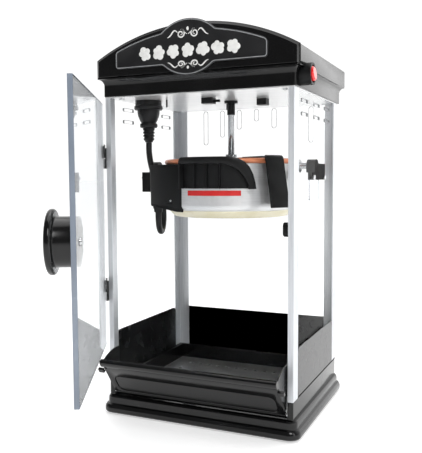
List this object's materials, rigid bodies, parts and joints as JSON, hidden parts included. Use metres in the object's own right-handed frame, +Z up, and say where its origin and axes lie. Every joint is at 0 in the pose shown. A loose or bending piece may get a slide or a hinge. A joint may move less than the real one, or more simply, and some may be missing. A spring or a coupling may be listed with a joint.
{
  "type": "tabletop popcorn maker",
  "caption": "Glazed tabletop popcorn cabinet with an arched hood, a tipping kettle with a driven stirrer, a side-hung clear door and a tilting front flap.",
  "frame": {"origin": "centre of the four feet, on the table they stand on", "axes": "+X to the machine's right seen from the front, +Y to its back, +Z up; the door and the flap are at the front, towards -Y"},
  "size_m": [0.2629, 0.4431, 0.4715],
  "materials": {
    "bronze": "plain bronze bush",
    "ceiling_steel": "bright sheet metal",
    "chrome": "polished chrome",
    "clear_glass": "clear pane",
    "copper": "copper-coloured enamel",
    "cord_black": "black flexible sheath",
    "deck_steel": "dull rolled steel sheet",
    "door_acrylic": "clear acrylic with polished edges",
    "emblem_white": "white printed emblem",
    "gloss_black": "polished black moulded plastic",
    "kettle_aluminium": "fine circular-brushed aluminium",
    "label_red": "red and cream printed band",
    "motor_grey": "grey metal",
    "post_aluminium": "satin anodised aluminium angle",
    "rubber": "soft black rubber",
    "satin_black": "fine-grained black moulded plastic",
    "screws": "bright plated steel",
    "switch_red": "glossy red plastic",
    "wall_black": "satin black painted sheet"
  },
  "bodies": {
    "cabinet": {"feet": "rubber", "base_plinth": "gloss_black", "bottom_cover": "deck_steel", "cover_screws": "screws", "popcorn_deck": "deck_steel", "post_front_left": "post_aluminium", "post_front_right": "post_aluminium", "post_rear_left": "post_aluminium", "post_rear_right": "post_aluminium", "side_wall_left": "wall_black", "side_wall_right": "wall_black", "rear_wall": "wall_black", "glass_left": "clear_glass", "glass_right": "clear_glass", "glass_rear": "clear_glass", "door_hinge_brackets": "satin_black", "door_hinge_pins": "screws", "door_catch": "satin_black", "hood_skirt": "gloss_black", "hood_roof": "gloss_black", "hood_fascia": "gloss_black", "hood_back": "gloss_black", "sign_plate": "gloss_black", "sign_emblem": "emblem_white", "ceiling_plate": "ceiling_steel", "ceiling_screws": "screws", "switch_bezel": "satin_black", "gear_motor": "motor_grey", "shaft_bush": "bronze", "power_socket": "satin_black", "lead_plug": "cord_black", "kettle_lead": "cord_black", "ceiling_clips": "satin_black", "hanger_left": "satin_black", "hanger_right": "satin_black", "hanger_guard": "clear_glass", "hanger_screws": "screws", "cord_gland": "satin_black"},
    "door": {"door_panel": "door_acrylic", "door_hinge_leaves": "satin_black", "door_knob": "gloss_black", "knob_screw": "screws"},
    "flap": {"flap_panel": "gloss_black", "flap_gussets": "wall_black", "flap_pins": "screws"},
    "rocker": {"switch_rocker": "switch_red"},
    "shaft": {"drive_shaft": "chrome", "shaft_collar": "satin_black"},
    "kettle": {"kettle_shell": "kettle_aluminium", "kettle_pot": "copper", "kettle_base": "kettle_aluminium", "heater_ring": "motor_grey", "kettle_handle": "satin_black", "terminal_box": "satin_black", "lid_bridge": "satin_black", "kettle_trunnions": "screws", "kettle_label": "label_red", "lid_rear": "kettle_aluminium"},
    "lid": {"lid_front": "kettle_aluminium"},
    "stirrer": {"stirrer": "chrome"}
  },
  "joints": [
    {"name": "door_swing", "type": "hinge", "parent": "cabinet", "child": "door", "pos_m": [-0.1215, -0.102, 0.22], "axis": [0, 0, 1], "range_deg": [-47, 63]},
    {"name": "flap_tilt", "type": "hinge", "parent": "cabinet", "child": "flap", "pos_m": [0, -0.095, 0.028], "axis": [1, 0, 0], "range_deg": [-35, 0]},
    {"name": "kettle_tilt", "type": "hinge", "parent": "cabinet", "child": "kettle", "pos_m": [0, 0.009, 0.306], "axis": [1, 0, 0], "range_deg": [0, 70], "deforming": ["kettle_lead"]},
    {"name": "shaft_spin", "type": "hinge", "parent": "cabinet", "child": "shaft", "pos_m": [0.007, -0.003, 0.36], "axis": [0, 0, 1], "continuous": true},
    {"name": "rocker_press", "type": "hinge", "parent": "cabinet", "child": "rocker", "pos_m": [0.1315, -0.077, 0.404], "axis": [0, 1, 0], "range_deg": [0, 14]},
    {"name": "lid_front_lift", "type": "hinge", "parent": "kettle", "child": "lid", "pos_m": [0.00308, -0.00904, 0.3141], "axis": [-0.8387, 0.5446, 0], "range_deg": [0, 60]},
    {"name": "stirrer_spin", "type": "hinge", "parent": "kettle", "child": "stirrer", "pos_m": [0.007, -0.003, 0.29], "axis": [0, 0, 1], "continuous": true}
  ],
  "couplings": [
    {"joint": "shaft_spin", "follows": "stirrer_spin", "ratio": 1}
  ]
}
